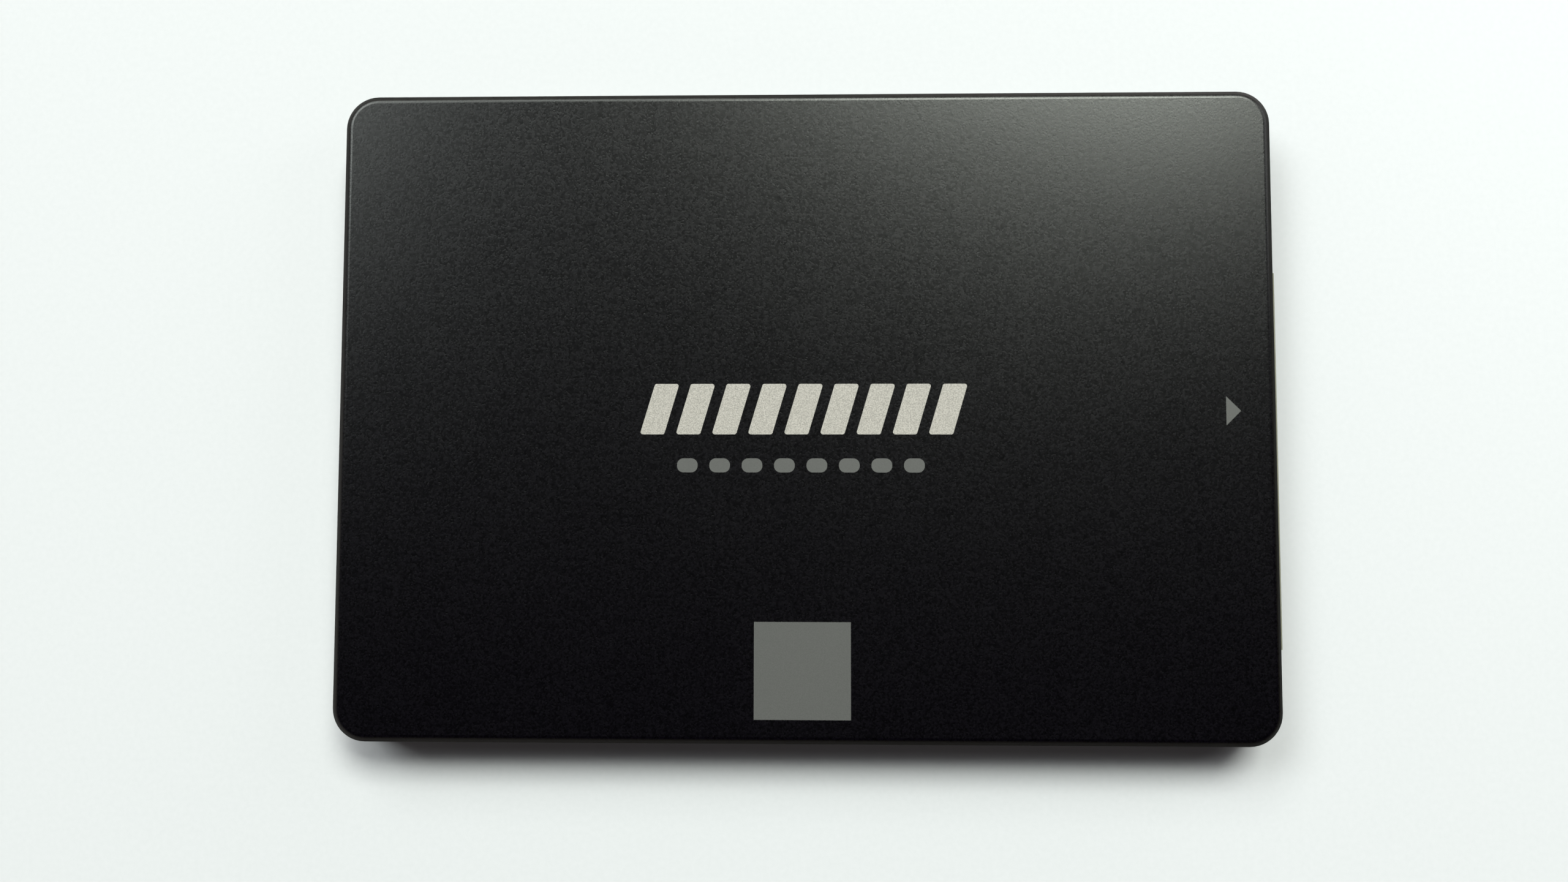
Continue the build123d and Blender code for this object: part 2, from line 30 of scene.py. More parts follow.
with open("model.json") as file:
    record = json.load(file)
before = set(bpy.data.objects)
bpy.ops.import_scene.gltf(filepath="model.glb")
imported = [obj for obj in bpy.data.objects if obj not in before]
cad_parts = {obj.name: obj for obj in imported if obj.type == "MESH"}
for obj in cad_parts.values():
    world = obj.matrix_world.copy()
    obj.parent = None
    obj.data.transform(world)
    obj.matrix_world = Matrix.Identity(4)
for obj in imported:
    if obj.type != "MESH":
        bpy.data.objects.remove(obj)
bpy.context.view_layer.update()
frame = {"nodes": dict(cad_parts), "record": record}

MM = 0.001
nodes = frame["nodes"]
slot_of = {part["node"]: part["material_slot"] for part in frame["record"]["subparts"]}

# ---- where things are, from the frame ----
cover_low, cover_high = (Vector(corner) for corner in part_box("top_cover"))
tray_high = Vector(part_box("base_tray")[1])
label_low, label_high = (Vector(corner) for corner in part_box("bottom_label"))
cover_centre_x = (cover_low.x + cover_high.x) / 2
cover_top_z = cover_high.z

# ---- materials: helpers that add nodes ----
# most of a noise lies between these two values
NOISE_LOW = 0.3
NOISE_HIGH = 0.7
# how many finer layers a noise has
NOISE_DETAIL = 3.0
# the colour sockets of the node that mixes, which has others for plain values
MIX_FIRST = 6
MIX_SECOND = 7
MIX_RESULT = 2


def new_material(name, colour, roughness, metallic=0.0, specular=0.5):
    """A material with one principled shader, and its node tree."""
    material = bpy.data.materials.new(name)
    material.use_nodes = True
    tree = material.node_tree
    shader = tree.nodes["Principled BSDF"]
    shader.inputs["Base Color"].default_value = (*colour, 1)
    shader.inputs["Roughness"].default_value = roughness
    shader.inputs["Metallic"].default_value = metallic
    shader.inputs["Specular IOR Level"].default_value = specular
    return material, tree, shader


def object_point(tree):
    """The point on the piece, in metres."""
    return tree.nodes.new("ShaderNodeTexCoord").outputs["Object"]


def noise(tree, grain, detail=NOISE_DETAIL):
    """Noise from 0 to 1 whose grains are about the given size."""
    node = tree.nodes.new("ShaderNodeTexNoise")
    node.inputs["Scale"].default_value = 1 / grain
    node.inputs["Detail"].default_value = detail
    tree.links.new(object_point(tree), node.inputs["Vector"])
    return node.outputs["Fac"]


def pebbles(tree, grain):
    """Cells side by side: the distance from each cell's middle, and a random grey for each cell."""
    node = tree.nodes.new("ShaderNodeTexVoronoi")
    node.inputs["Scale"].default_value = 1 / grain
    tree.links.new(object_point(tree), node.inputs["Vector"])
    grey = tree.nodes.new("ShaderNodeSeparateColor")
    tree.links.new(node.outputs["Color"], grey.inputs["Color"])
    return node.outputs["Distance"], grey.outputs["Red"]


def remap(tree, value, from_low, from_high, to_low, to_high):
    """A value carried from one range to another, and held inside it."""
    node = tree.nodes.new("ShaderNodeMapRange")
    node.inputs["From Min"].default_value = from_low
    node.inputs["From Max"].default_value = from_high
    node.inputs["To Min"].default_value = to_low
    node.inputs["To Max"].default_value = to_high
    tree.links.new(value, node.inputs["Value"])
    return node.outputs["Result"]


def stretched(tree, value, to_low, to_high):
    """A noise carried from its usual range to another."""
    return remap(tree, value, NOISE_LOW, NOISE_HIGH, to_low, to_high)


def mix_colours(tree, factor, first, second):
    """A colour between two colours or colour outputs."""
    node = tree.nodes.new("ShaderNodeMix")
    node.data_type = "RGBA"
    tree.links.new(factor, node.inputs["Factor"])
    for number, colour in ((MIX_FIRST, first), (MIX_SECOND, second)):
        socket = node.inputs[number]
        if isinstance(colour, tuple):
            socket.default_value = (*colour, 1)
        else:
            tree.links.new(colour, socket)
    return node.outputs[MIX_RESULT]


def combine(tree, operation, first, second):
    """Two values joined by a sum or another operation."""
    node = tree.nodes.new("ShaderNodeMath")
    node.operation = operation
    tree.links.new(first, node.inputs[0])
    tree.links.new(second, node.inputs[1])
    return node.outputs["Value"]


def add(tree, first, second):
    """The sum of two values."""
    return combine(tree, "ADD", first, second)


def multiply(tree, first, second):
    """The product of two values."""
    return combine(tree, "MULTIPLY", first, second)


def add_bump(tree, shader, height, depth, strength=1.0):
    """Raise the surface by the height, times the depth."""
    node = tree.nodes.new("ShaderNodeBump")
    node.inputs["Distance"].default_value = depth
    node.inputs["Strength"].default_value = strength
    tree.links.new(height, node.inputs["Height"])
    tree.links.new(node.outputs["Normal"], shader.inputs["Normal"])


# ---- materials of the case ----
COATING_GRAIN = 0.17 * MM
COATING_RIPPLE = 0.45 * MM
COATING_PATCH = 7 * MM
# how far the grains and the ripples change the roughness
COATING_SPECKLE = 0.034
COATING_MOTTLE = 0.010
# the rougher, paler edge fades in between these two levels of tilt; its colour is partly rubbed wear and
# partly a painted warm reflection
EDGE_SHEEN_LEVEL = 0.90
NO_SHEEN_LEVEL = 0.97
# the least share of the edge's wear and painted reflection, where the ripples are low
WEAR_AND_SHEEN_LEAST = 0.6
# the distance from a grain's middle to its foot, in grains
GRAIN_FOOT = 0.8
# the palest grains are raised by this share of a grain's height
GRAIN_TALLER = 0.6
# the ripples rise from one of these values of their noise to the other
RIPPLE_LOW = 0.2
RIPPLE_HIGH = 0.8


def upward_tilt(tree):
    """How level the surface is: 1 on the faces that look straight up or down, 0 on the walls."""
    normal = tree.nodes.new("ShaderNodeTexCoord").outputs["Normal"]
    split = tree.nodes.new("ShaderNodeSeparateXYZ")
    tree.links.new(normal, split.inputs["Vector"])
    size = tree.nodes.new("ShaderNodeMath")
    size.operation = "ABSOLUTE"
    tree.links.new(split.outputs["Z"], size.inputs[0])
    return size.outputs["Value"]


def coating(name, dark, light, edge, roughness, edge_roughness, specular, grain_depth):
    """A fine matte coating on metal: small grains, broad faint patches, and rubbed edges and walls whose
    paler brownish colour is partly a painted warm reflection.
    """
    middle_roughness = sum(roughness) / 2
    material, tree, shader = new_material(name, dark, middle_roughness, specular=specular)
    distances, greys = pebbles(tree, COATING_GRAIN)
    patches = noise(tree, COATING_PATCH)
    ripples = noise(tree, COATING_RIPPLE)
    level = upward_tilt(tree)
    # painted reflection: the tilted edges and walls are mixed towards the paler brownish edge colour, along
    # with rubbed wear
    painted_sheen_mask = remap(tree, level, EDGE_SHEEN_LEVEL, NO_SHEEN_LEVEL, 1, 0)
    wear_and_painted_sheen = multiply(tree, painted_sheen_mask, stretched(tree, ripples, WEAR_AND_SHEEN_LEAST, 1))
    colour = mix_colours(tree, greys, dark, light)
    tree.links.new(mix_colours(tree, wear_and_painted_sheen, colour, edge), shader.inputs["Base Color"])
    speckle = remap(tree, greys, 0, 1, -COATING_SPECKLE, COATING_SPECKLE)
    mottle = stretched(tree, ripples, -COATING_MOTTLE, COATING_MOTTLE)
    face_roughness = add(tree, stretched(tree, patches, *roughness), add(tree, speckle, mottle))
    extra = remap(tree, wear_and_painted_sheen, 0, 1, 0, edge_roughness - middle_roughness)
    tree.links.new(add(tree, face_roughness, extra), shader.inputs["Roughness"])
    domes = remap(tree, distances, 0, GRAIN_FOOT, 1, 0)
    uneven_domes = add(tree, domes, remap(tree, greys, 0, 1, 0, GRAIN_TALLER))
    waves = remap(tree, ripples, RIPPLE_LOW, RIPPLE_HIGH, 0, 1)
    add_bump(tree, shader, add(tree, uneven_domes, waves), grain_depth)
    return material


# ---- materials of the print and of the other pieces ----
INK_ROUGHNESS = 0.5
INK_SPECULAR = 0.3
INK_FLAKE = 0.12 * MM
INK_DETAIL = 2.0
INK_DEPTH = 0.004 * MM
INK_BUMP = 0.5
SURFACE_DEPTH = 0.003 * MM
SURFACE_BUMP = 0.6
# how far the roughness of a plain surface goes either way, as a share of it
SURFACE_SPREAD = 0.15


def shade_by(tree, shader, grains, colour, variation):
    """Make the colour a little brighter or dimmer with the grains."""
    bright = tuple(channel * (1 + variation) for channel in colour)
    dim = tuple(channel * (1 - variation) for channel in colour)
    shade = mix_colours(tree, stretched(tree, grains, 0, 1), dim, bright)
    tree.links.new(shade, shader.inputs["Base Color"])


def ink(name, colour, sparkle):
    """Printed ink: flat colour with a fine sparkle of metal flakes."""
    material, tree, shader = new_material(name, colour, INK_ROUGHNESS, specular=INK_SPECULAR)
    flakes = noise(tree, INK_FLAKE, INK_DETAIL)
    shade_by(tree, shader, flakes, colour, sparkle)
    add_bump(tree, shader, flakes, INK_DEPTH, INK_BUMP)
    return material


def grained(name, colour, roughness, grain, metallic=0.0, variation=0.15):
    """A plain surface with grains, for mouldings, metals, pads and papers."""
    material, tree, shader = new_material(name, colour, roughness, metallic)
    grains = noise(tree, grain)
    shade_by(tree, shader, grains, colour, variation)
    smoother, rougher = roughness * (1 - SURFACE_SPREAD), roughness * (1 + SURFACE_SPREAD)
    tree.links.new(stretched(tree, grains, smoother, rougher), shader.inputs["Roughness"])
    add_bump(tree, shader, grains, SURFACE_DEPTH, SURFACE_BUMP)
    return material


METAL_GRAIN = 0.1 * MM
PLASTIC_BLACK = (0.012, 0.012, 0.012)
# the pale colour of a painted highlight along the front of the lip
PLASTIC_PAINTED_HIGHLIGHT = (0.172, 0.166, 0.131)
PLASTIC_GRAIN = 0.12 * MM
PLASTIC_ROUGHNESS = (0.4, 0.5)
# the lip shows at least this share of its painted highlight colour
PLASTIC_LEAST_HIGHLIGHT = 0.85
# the painted highlight covers the lip beyond the cover's end and above this height, and fades in over this
# distance
LIP_LOW = 4.7 * MM
LIP_FADE = 0.05 * MM


def metal(name, colour, roughness):
    """A bare or plated metal."""
    return grained(name, colour, roughness, METAL_GRAIN, metallic=1.0)


def connector_plastic():
    """Black moulded plastic, with a painted pale highlight along the front of the lip that leaves the case.
    """
    material, tree, shader = new_material("connector_plastic", PLASTIC_BLACK, sum(PLASTIC_ROUGHNESS) / 2)
    grains = noise(tree, PLASTIC_GRAIN)
    split = tree.nodes.new("ShaderNodeSeparateXYZ")
    tree.links.new(object_point(tree), split.inputs["Vector"])
    lip = remap(tree, split.outputs["X"], cover_high.x, cover_high.x + LIP_FADE, 0, 1)
    above = remap(tree, split.outputs["Z"], LIP_LOW, LIP_LOW + LIP_FADE, 0, 1)
    uneven = stretched(tree, grains, PLASTIC_LEAST_HIGHLIGHT, 1)
    # painted highlight: the front of the lip is mixed towards the pale colour, unevenly with the grains
    painted_sheen_mask = multiply(tree, multiply(tree, lip, above), uneven)
    tree.links.new(mix_colours(tree, painted_sheen_mask, PLASTIC_BLACK, PLASTIC_PAINTED_HIGHLIGHT), shader.inputs["Base Color"])
    tree.links.new(stretched(tree, grains, *PLASTIC_ROUGHNESS), shader.inputs["Roughness"])
    add_bump(tree, shader, grains, SURFACE_DEPTH, SURFACE_BUMP)
    return material


# ---- every material, by the slot that it fills ----
materials = {
    "cover_coating": coating(
        "cover_coating",
        dark=(0.0001, 0.0000, 0.0003),
        light=(0.0007, 0.0003, 0.0014),
        # the paler brownish colour of the tilted edges and walls: partly rubbed wear, partly a painted warm
        # reflection
        edge=(0.0020, 0.0016, 0.0009),
        roughness=(0.261, 0.269),
        edge_roughness=0.34,
        specular=0.28,
        grain_depth=0.0023 * MM,
    ),
    "tray_coating": coating(
        "tray_coating",
        dark=(0.0035, 0.0033, 0.0037),
        light=(0.0060, 0.0058, 0.0064),
        # the paler brownish colour of the tilted edges and walls: partly rubbed wear, partly a painted warm
        # reflection
        edge=(0.009, 0.008, 0.007),
        roughness=(0.36, 0.42),
        edge_roughness=0.42,
        specular=0.35,
        grain_depth=0.004 * MM,
    ),
    "label_sheet": grained("label_sheet", (0.60, 0.60, 0.58), roughness=0.4, grain=0.3 * MM, variation=0.02),
    "board_laminate": grained("board_laminate", (0.010, 0.060, 0.030), roughness=0.3, grain=0.4 * MM),
    "connector_plastic": connector_plastic(),
    "gold_plate": metal("gold_plate", (0.83, 0.58, 0.22), roughness=0.25),
    "tin_plate": metal("tin_plate", (0.60, 0.60, 0.59), roughness=0.35),
    "bright_steel": metal("bright_steel", (0.55, 0.55, 0.56), roughness=0.3),
    "dark_steel": metal("dark_steel", (0.06, 0.06, 0.065), roughness=0.35),
    "chip_resin": grained("chip_resin", (0.016, 0.016, 0.018), roughness=0.5, grain=0.08 * MM),
    "pad_silicone": grained("pad_silicone", (0.30, 0.36, 0.50), roughness=0.7, grain=0.2 * MM),
    "ferrite": grained("ferrite", (0.06, 0.06, 0.065), roughness=0.6, grain=0.08 * MM),
    "capacitor_resin": grained("capacitor_resin", (0.70, 0.42, 0.05), roughness=0.45, grain=0.1 * MM),
    "capacitor_ceramic": grained("capacitor_ceramic", (0.40, 0.26, 0.15), roughness=0.5, grain=0.08 * MM),
    "resistor_film": grained("resistor_film", (0.02, 0.02, 0.022), roughness=0.3, grain=0.08 * MM),
    "fuse_ceramic": grained("fuse_ceramic", (0.75, 0.75, 0.70), roughness=0.4, grain=0.08 * MM),
    "cut_metal": metal("cut_metal", (0.35, 0.35, 0.36), roughness=0.35),
    "label_dark_ink": ink("label_dark_ink", (0.035, 0.036, 0.040), sparkle=0.10),
    "label_grey_ink": ink("label_grey_ink", (0.30, 0.31, 0.32), sparkle=0.06),
    "main_ink": ink("main_ink", (0.254, 0.236, 0.221), sparkle=0.34),
    "second_ink": ink("second_ink", (0.0585, 0.0580, 0.0575), sparkle=0.10),
}

for node_name, node in nodes.items():
    for material_slot in node.material_slots:
        material_slot.material = materials[slot_of[node_name]]

# ---- the print on the cover ----
PRINT_THICKNESS = 0.012 * MM
# places are counted from the middle of the cover, which is at Y = 0
SQUARE_SIDE = 10.2 * MM
SQUARE_X = -0.1 * MM
SQUARE_Y = -27.1 * MM
MAIN_ROW_LENGTH = 34.9 * MM
MAIN_ROW_HEIGHT = 5.4 * MM
MAIN_ROW_Y = 0.5 * MM
BAR_COUNT = 9
BAR_LENGTH = 2.6 * MM
BAR_SLANT = 1.6 * MM
BAR_CORNER = 0.25 * MM
SECOND_ROW_LENGTH = 26.3 * MM
SECOND_ROW_X = -0.3 * MM
SECOND_ROW_Y = -5.5 * MM
DASH_COUNT = 8
DASH_LENGTH = 2.2 * MM
DASH_WIDTH = 1.5 * MM
DASH_CORNER = 0.675 * MM
ARROW_X = 44.6 * MM
ARROW_Y = 0.3 * MM
ARROW_WIDTH = 3.1 * MM
CORNER_STEPS = 5


def rounded_outline(outline, radius):
    """The outline with each corner replaced by a short arc."""
    points = []
    count = len(outline)
    for index, corner in enumerate(outline):
        to_last = (outline[index - 1] - corner).normalized()
        to_next = (outline[(index + 1) % count] - corner).normalized()
        half_angle = to_last.angle(to_next) / 2
        start = corner + to_last * (radius / math.tan(half_angle))
        end = corner + to_next * (radius / math.tan(half_angle))
        centre = corner + (to_last + to_next).normalized() * (radius / math.sin(half_angle))
        for step in range(CORNER_STEPS + 1):
            chord = start.lerp(end, step / CORNER_STEPS)
            points.append(centre + (chord - centre).normalized() * radius)
    return points


def printed_piece(name, outlines, z, material, upwards=True):
    """A thin layer of ink with the given outlines, on a face at height z."""
    mesh = bpy.data.meshes.new(name)
    shape = bmesh.new()
    outer_z = z + PRINT_THICKNESS if upwards else z - PRINT_THICKNESS
    for outline in outlines:
        inner = [shape.verts.new((point.x, point.y, z)) for point in outline]
        outer = [shape.verts.new((point.x, point.y, outer_z)) for point in outline]
        shape.faces.new(inner)
        shape.faces.new(outer)
        for index, vertex in enumerate(inner):
            following = (index + 1) % len(inner)
            shape.faces.new((vertex, inner[following], outer[following], outer[index]))
    bmesh.ops.recalc_face_normals(shape, faces=shape.faces)
    shape.to_mesh(mesh)
    shape.free()
    piece = bpy.data.objects.new(name, mesh)
    bpy.context.collection.objects.link(piece)
    piece.data.materials.append(materials[material])
    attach(piece, "root")


def rectangle(centre_x, centre_y, length, width, slant=0.0):
    """A rectangle's corners, with its upper side moved along X by the slant."""
    outline = []
    for across, up in ((-1, -1), (1, -1), (1, 1), (-1, 1)):
        x = centre_x + (length * across + slant * up) / 2
        outline.append(Vector((x, centre_y + width * up / 2)))
    return outline


def print_cover():
    """The square, the main row of slanted bars, the row of dashes and the arrow."""
    square = rectangle(cover_centre_x + SQUARE_X, SQUARE_Y, SQUARE_SIDE, SQUARE_SIDE)
    printed_piece("print_square", [square], cover_top_z, "second_ink")
    bars = []
    bar_pitch = (MAIN_ROW_LENGTH - BAR_SLANT - BAR_LENGTH) / (BAR_COUNT - 1)
    first_x = cover_centre_x - (BAR_COUNT - 1) * bar_pitch / 2
    for number in range(BAR_COUNT):
        bar = rectangle(first_x + number * bar_pitch, MAIN_ROW_Y, BAR_LENGTH, MAIN_ROW_HEIGHT, BAR_SLANT)
        bars.append(rounded_outline(bar, BAR_CORNER))
    printed_piece("print_main_bars", bars, cover_top_z, "main_ink")
    dashes = []
    dash_pitch = (SECOND_ROW_LENGTH - DASH_LENGTH) / (DASH_COUNT - 1)
    first_x = cover_centre_x + SECOND_ROW_X - (DASH_COUNT - 1) * dash_pitch / 2
    for number in range(DASH_COUNT):
        dash = rectangle(first_x + number * dash_pitch, SECOND_ROW_Y, DASH_LENGTH, DASH_WIDTH)
        dashes.append(rounded_outline(dash, DASH_CORNER))
    printed_piece("print_dashes", dashes, cover_top_z, "second_ink")
    base_x = cover_centre_x + ARROW_X
    arrow = [
        Vector((base_x, ARROW_Y - ARROW_WIDTH / 2)),
        Vector((base_x + ARROW_WIDTH / 2, ARROW_Y)),
        Vector((base_x, ARROW_Y + ARROW_WIDTH / 2)),
    ]
    printed_piece("print_arrow", [arrow], cover_top_z, "second_ink")


print_cover()

# ---- the print on the label under the drive ----
LABEL_MARGIN = 4.0 * MM
HEADER_HEIGHT = 7.5 * MM
TABLE_LENGTH = 48.0 * MM
TABLE_ROWS = 7
RULE_WIDTH = 0.25 * MM
CELL_DASH_HEIGHT = 1.1 * MM
CELL_DASH_CORNER = 0.44 * MM
CELL_DASH_STEP = 0.9 * MM
FIRST_COLUMN_SHARE = 0.36
# how many steps shorter each dash is than the last, before the count wraps round
FIRST_COLUMN_STRIDE = 2
SECOND_COLUMN_STRIDE = 3
PANEL_GAP = 4.0 * MM
PANEL_CORNER = 1.0 * MM
DISC_RADIUS = 4.6 * MM
DISC_STEPS = 48


def spread(low, high, count):
    """Evenly spaced values from low to high, both included."""
    return [low + (high - low) * step / (count - 1) for step in range(count)]


def span(low_x, high_x, low_y, high_y):
    """A rectangle between two corners."""
    return rectangle((low_x + high_x) / 2, (low_y + high_y) / 2, high_x - low_x, high_y - low_y)


def table_rules(low_x, high_x, low_y, high_y):
    """The lines of a ruled table with two columns."""
    half = RULE_WIDTH / 2
    column_x = low_x + (high_x - low_x) * FIRST_COLUMN_SHARE
    rows = spread(low_y, high_y, TABLE_ROWS + 1)
    across = [span(low_x - half, high_x + half, y - half, y + half) for y in rows]
    upright = []
    for x in (low_x, column_x, high_x):
        for low, high in zip(rows, rows[1:]):
            upright.append(span(x - half, x + half, low + half, high - half))
    return across + upright


def table_dashes(low_x, high_x, low_y, high_y):
    """A dash in each cell of the table, of a length that changes from row to row."""
    column_x = low_x + (high_x - low_x) * FIRST_COLUMN_SHARE
    row_height = (high_y - low_y) / TABLE_ROWS
    half = CELL_DASH_HEIGHT / 2
    cells = ((low_x, column_x, FIRST_COLUMN_STRIDE), (column_x, high_x, SECOND_COLUMN_STRIDE))
    dashes = []
    for row in range(TABLE_ROWS):
        centre_y = low_y + (row + 0.5) * row_height
        for cell_low_x, cell_high_x, stride in cells:
            free = cell_high_x - cell_low_x - LABEL_MARGIN
            length = free - CELL_DASH_STEP * (row * stride % TABLE_ROWS)
            start = cell_low_x + LABEL_MARGIN / 2
            dash = span(start, start + length, centre_y - half, centre_y + half)
            dashes.append(rounded_outline(dash, CELL_DASH_CORNER))
    return dashes


def circle(centre_x, centre_y, radius):
    """A round outline."""
    centre = Vector((centre_x, centre_y))
    turns = [2 * math.pi * step / DISC_STEPS for step in range(DISC_STEPS)]
    return [centre + Vector((math.cos(turn), math.sin(turn))) * radius for turn in turns]


def print_label():
    """A header, a ruled table of dashes, a plain panel and a disc: a label without any words."""
    low_x, high_x = label_low.x + LABEL_MARGIN, label_high.x - LABEL_MARGIN
    low_y, high_y = label_low.y + LABEL_MARGIN, label_high.y - LABEL_MARGIN
    table_high_y = high_y - HEADER_HEIGHT - PANEL_GAP
    table = (low_x, low_x + TABLE_LENGTH, low_y, table_high_y)
    panel_low_x = low_x + TABLE_LENGTH + PANEL_GAP
    panel_low_y = table_high_y - DISC_RADIUS * 2 - PANEL_GAP
    header = rounded_outline(span(low_x, high_x, high_y - HEADER_HEIGHT, high_y), PANEL_CORNER)
    panel = rounded_outline(span(panel_low_x, high_x, low_y, panel_low_y), PANEL_CORNER)
    z = label_low.z
    printed_piece("label_header", [header], z, "label_dark_ink", upwards=False)
    printed_piece("label_panel", [panel], z, "label_grey_ink", upwards=False)
    printed_piece("label_table_rules", table_rules(*table), z, "label_dark_ink", upwards=False)
    printed_piece("label_table_dashes", table_dashes(*table), z, "label_dark_ink", upwards=False)
    disc = circle((panel_low_x + high_x) / 2, table_high_y - DISC_RADIUS, DISC_RADIUS)
    printed_piece("label_disc", [disc], z, "label_grey_ink", upwards=False)


print_label()

# ---- threads in the mounting holes ----
THREAD_PITCH = 0.5 * MM
THREAD_CREST = 0.13 * MM
THREAD_HALF_BASE = 0.2 * MM
THREAD_BURIED = 0.02 * MM
THREAD_STEPS_PER_TURN = 24
BOTTOM_THREAD_DEPTH = 2.9 * MM
SIDE_THREAD_DEPTH = 2.2 * MM
THREAD_START = 0.35 * MM
# the least share of the full section that is left at a thread's two ends
THREAD_LEAST_CREST = 0.02
THREAD_LEAST_BASE = 0.05


def thread_ridge(shape, mouth, inward, depth, hole_radius):
    """A pointed helical ridge on the wall of a hole, thinning out at both ends."""
    turn_axis = inward.normalized()
    side = turn_axis.orthogonal().normalized()
    other = turn_axis.cross(side)
    steps = round((depth - THREAD_START) / THREAD_PITCH * THREAD_STEPS_PER_TURN)
    rings = []
    for step in range(steps + 1):
        angle = 2 * math.pi * step / THREAD_STEPS_PER_TURN
        along = THREAD_START + THREAD_PITCH * step / THREAD_STEPS_PER_TURN
        fullness = min(1, step / THREAD_STEPS_PER_TURN, (steps - step) / THREAD_STEPS_PER_TURN)
        outward = side * math.cos(angle) + other * math.sin(angle)
        base_radius = hole_radius + THREAD_BURIED
        crest_radius = base_radius - (THREAD_CREST + THREAD_BURIED) * max(fullness, THREAD_LEAST_CREST)
        half_base = THREAD_HALF_BASE * max(fullness, THREAD_LEAST_BASE)
        centre = mouth + turn_axis * along
        section = ((base_radius, -half_base), (crest_radius, 0), (base_radius, half_base))
        points = [centre + turn_axis * shift + outward * radius for radius, shift in section]
        rings.append([shape.verts.new(point) for point in points])
    for ring, following in zip(rings, rings[1:]):
        for corner in range(len(ring)):
            after = (corner + 1) % len(ring)
            shape.faces.new((ring[corner], ring[after], following[after], following[corner]))
    shape.faces.new(rings[0])
    shape.faces.new(rings[-1])


def build_threads():
    """The threads of the four holes under the drive and of the four in its sides."""
    mounts = {mount["name"]: mount for mount in frame["record"]["mounts"]}
    bottom = mounts["bottom_holes"]
    centre_x = bottom["pos_m"][0]
    spacing_x = bottom["dims"]["spacing_x_mm"] * MM
    spacing_y = bottom["dims"]["spacing_y_mm"] * MM
    hole_radius = bottom["dims"]["hole_r_mm"] * MM
    side_z = mounts["side_holes_plus_y"]["pos_m"][2]
    shape = bmesh.new()
    for end in (-1, 1):
        x = centre_x + end * spacing_x / 2
        for side in (-1, 1):
            bottom_mouth = Vector((x, side * spacing_y / 2, 0))
            thread_ridge(shape, bottom_mouth, Vector((0, 0, 1)), BOTTOM_THREAD_DEPTH, hole_radius)
            side_mouth = Vector((x, side * tray_high.y, side_z))
            thread_ridge(shape, side_mouth, Vector((0, -side, 0)), SIDE_THREAD_DEPTH, hole_radius)
    bmesh.ops.recalc_face_normals(shape, faces=shape.faces)
    mesh = bpy.data.meshes.new("mount_hole_threads")
    shape.to_mesh(mesh)
    shape.free()
    threads = bpy.data.objects.new("mount_hole_threads", mesh)
    bpy.context.collection.objects.link(threads)
    threads.data.materials.append(materials["cut_metal"])
    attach(threads, "root")


build_threads()

# ---- floor ----
FLOOR_GAP = 0.02 * MM
FLOOR_REACH = 3.0
PAPER_ROUGHNESS = 0.8
PAPER_SPECULAR = 0.2
PAPER_FIBRE = 0.6 * MM
PAPER_DETAIL = 4.0
PAPER_DEPTH = 0.02 * MM
PAPER_BUMP = 0.3
PAPER_DIM = (0.440, 0.438, 0.466)
PAPER_BRIGHT = (0.453, 0.451, 0.479)


def build_floor():
    """A wide sheet of pale paper under the drive."""
    mesh = bpy.data.meshes.new("floor")
    outline = rectangle(0, 0, FLOOR_REACH * 2, FLOOR_REACH * 2)
    mesh.from_pydata([(corner.x, corner.y, -FLOOR_GAP) for corner in outline], [], [(0, 1, 2, 3)])
    floor = bpy.data.objects.new("floor", mesh)
    bpy.context.collection.objects.link(floor)
    material, tree, shader = new_material("paper", PAPER_DIM, PAPER_ROUGHNESS, specular=PAPER_SPECULAR)
    fibres = noise(tree, PAPER_FIBRE, PAPER_DETAIL)
    shade = mix_colours(tree, stretched(tree, fibres, 0, 1), PAPER_DIM, PAPER_BRIGHT)
    tree.links.new(shade, shader.inputs["Base Color"])
    add_bump(tree, shader, fibres, PAPER_DEPTH, PAPER_BUMP)
    floor.data.materials.append(material)


build_floor()

# ---- light ----
# the surround is full up to the first height, and has faded to a small share at the second
HORIZON_TOP = math.radians(24)
HORIZON_FADE = math.radians(42)
HIGH_SHARE = 0.03
# its strength far to the left (-X) and far to the right
LEFT_HORIZON = 0.55
RIGHT_HORIZON = 0.05
# a glow is added beyond the drive (+Y) and to the right, full up to the first height and gone at the second
GLOW = 2.2
GLOW_TOP = math.radians(9)
GLOW_FADE = math.radians(19)
# it grows between these two places along X and these two along Y, on a sphere of radius 1
GLOW_ALONG_X = (-0.05, 0.30)
GLOW_ALONG_Y = (0.40, 0.90)
SURROUND_COLOUR = (1.0, 0.93, 0.90)
LIGHT_DISTANCE = 2.0


def area_light(name, azimuth, elevation, width, height, power, colour, distance=LIGHT_DISTANCE):
    """A soft light that faces the drive. The azimuth runs from +X towards +Y. Degrees, metres and watts."""
    light = bpy.data.lights.new(name, "AREA")
    light.shape = "RECTANGLE"
    light.size = width
    light.size_y = height
    light.energy = power
    light.color = colour
    lamp = bpy.data.objects.new(name, light)
    bpy.context.collection.objects.link(lamp)
    turn, rise = math.radians(azimuth), math.radians(elevation)
    direction = Vector((math.cos(rise) * math.cos(turn), math.cos(rise) * math.sin(turn), math.sin(rise)))
    lamp.location = direction * distance
    lamp.rotation_euler = direction.to_track_quat("Z", "Y").to_euler()


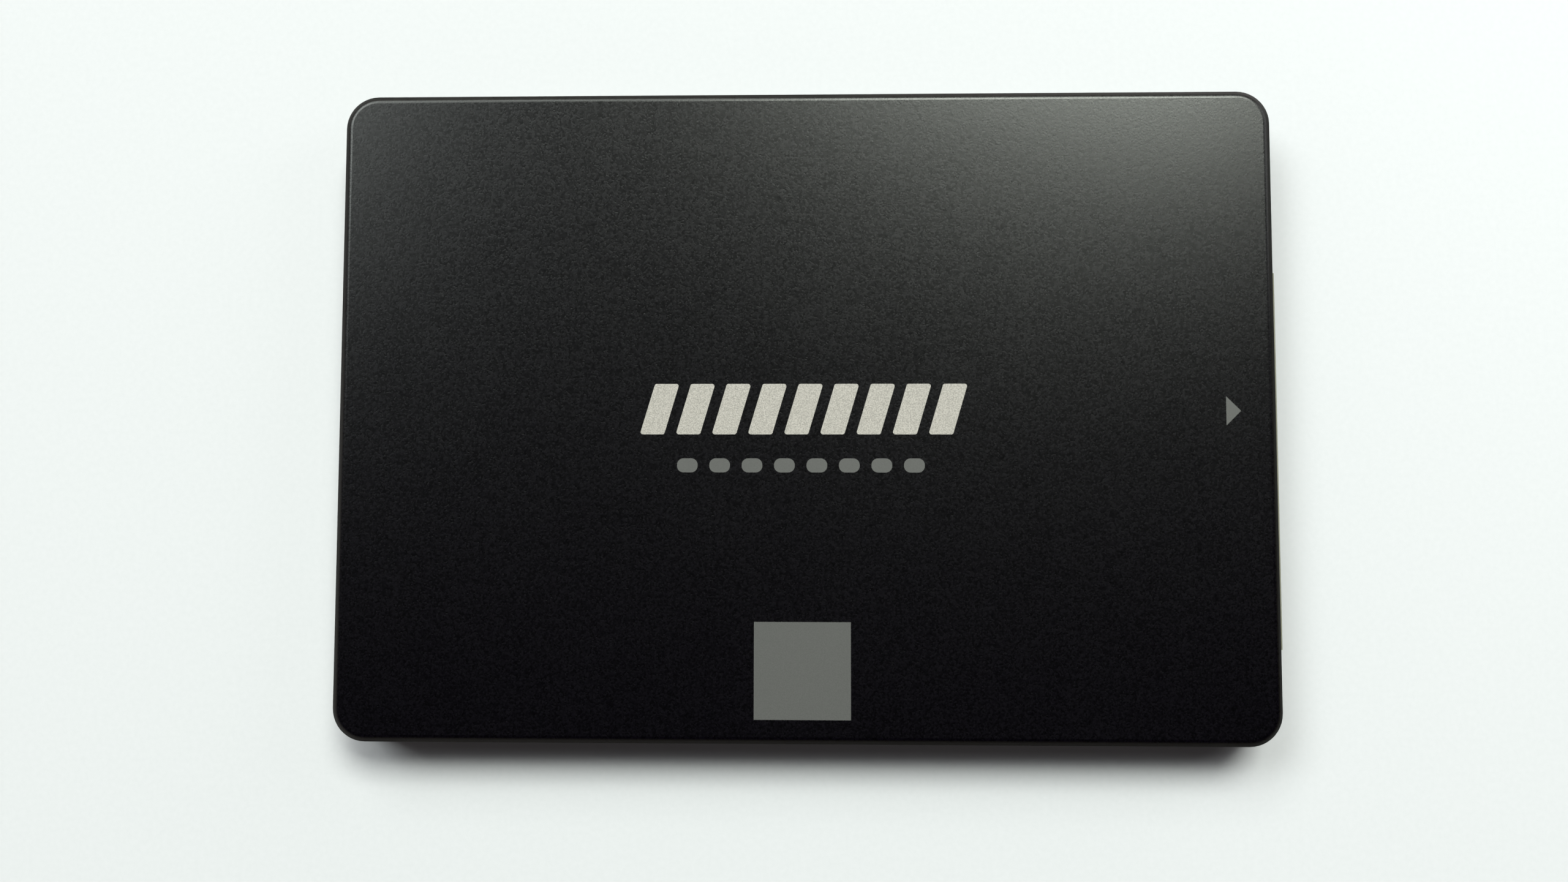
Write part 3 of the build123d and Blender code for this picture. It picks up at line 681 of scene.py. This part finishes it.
def build_world():
    """A slightly warm surround: brightest low down, to the left and far right, and almost black overhead."""
    world = bpy.data.worlds.new("surround")
    world.use_nodes = True
    tree = world.node_tree
    direction = tree.nodes.new("ShaderNodeTexCoord")
    split = tree.nodes.new("ShaderNodeSeparateXYZ")
    tree.links.new(direction.outputs["Generated"], split.inputs["Vector"])
    height = remap(tree, split.outputs["Z"], math.sin(HORIZON_TOP), math.sin(HORIZON_FADE), 1, HIGH_SHARE)
    along_x = remap(tree, split.outputs["X"], -1, 1, LEFT_HORIZON, RIGHT_HORIZON)
    low = remap(tree, split.outputs["Z"], math.sin(GLOW_TOP), math.sin(GLOW_FADE), GLOW, 0)
    right = remap(tree, split.outputs["X"], *GLOW_ALONG_X, 0, 1)
    far = remap(tree, split.outputs["Y"], *GLOW_ALONG_Y, 0, 1)
    glow = multiply(tree, low, multiply(tree, right, far))
    strength = add(tree, multiply(tree, height, along_x), glow)
    background = tree.nodes["Background"]
    background.inputs["Color"].default_value = (*SURROUND_COLOUR, 1)
    tree.links.new(strength, background.inputs["Strength"])
    bpy.context.scene.world = world


area_light(
    "window",
    azimuth=70,
    elevation=55,
    width=0.93,
    height=0.73,
    power=62.5,
    colour=(0.94, 1.0, 0.90),
)
area_light(
    "far_window",
    azimuth=142,
    elevation=47,
    width=0.75,
    height=0.75,
    power=23.5,
    colour=(0.93, 1.0, 0.955),
)
area_light(
    "low_sky",
    azimuth=112,
    elevation=41,
    width=1.00,
    height=0.70,
    power=18.0,
    colour=(0.94, 1.0, 0.93),
)
area_light(
    "side_fill",
    azimuth=28,
    elevation=27,
    width=0.12,
    height=0.12,
    power=0.12,
    colour=(0.97, 1.0, 0.97),
    distance=0.27,
)
build_world()
bpy.context.scene.view_settings.view_transform = "Standard"

# ---- camera ----
# the lens and the sensor are in millimetres, as a Blender camera takes them
CAMERA_LENS = 28.125
CAMERA_SENSOR = 36.0
CAMERA_NEAREST = 10 * MM
CAMERA_PLACE = (0.92 * MM, -11.02 * MM, 136.70 * MM)
# one turn about one axis, from looking straight down, as degrees about X, Y and Z
CAMERA_TURN = (3.575, 1.424, 0.059)


def build_camera():
    """The camera almost straight above the drive, a little off its centre."""
    data = bpy.data.cameras.new("camera")
    data.lens = CAMERA_LENS
    data.sensor_width = CAMERA_SENSOR
    data.clip_start = CAMERA_NEAREST
    camera = bpy.data.objects.new("camera", data)
    bpy.context.collection.objects.link(camera)
    turn = Vector([math.radians(angle) for angle in CAMERA_TURN])
    camera.rotation_mode = "QUATERNION"
    camera.rotation_quaternion = Matrix.Rotation(turn.length, 3, turn.normalized()).to_quaternion()
    camera.location = CAMERA_PLACE
    bpy.context.scene.camera = camera


build_camera()
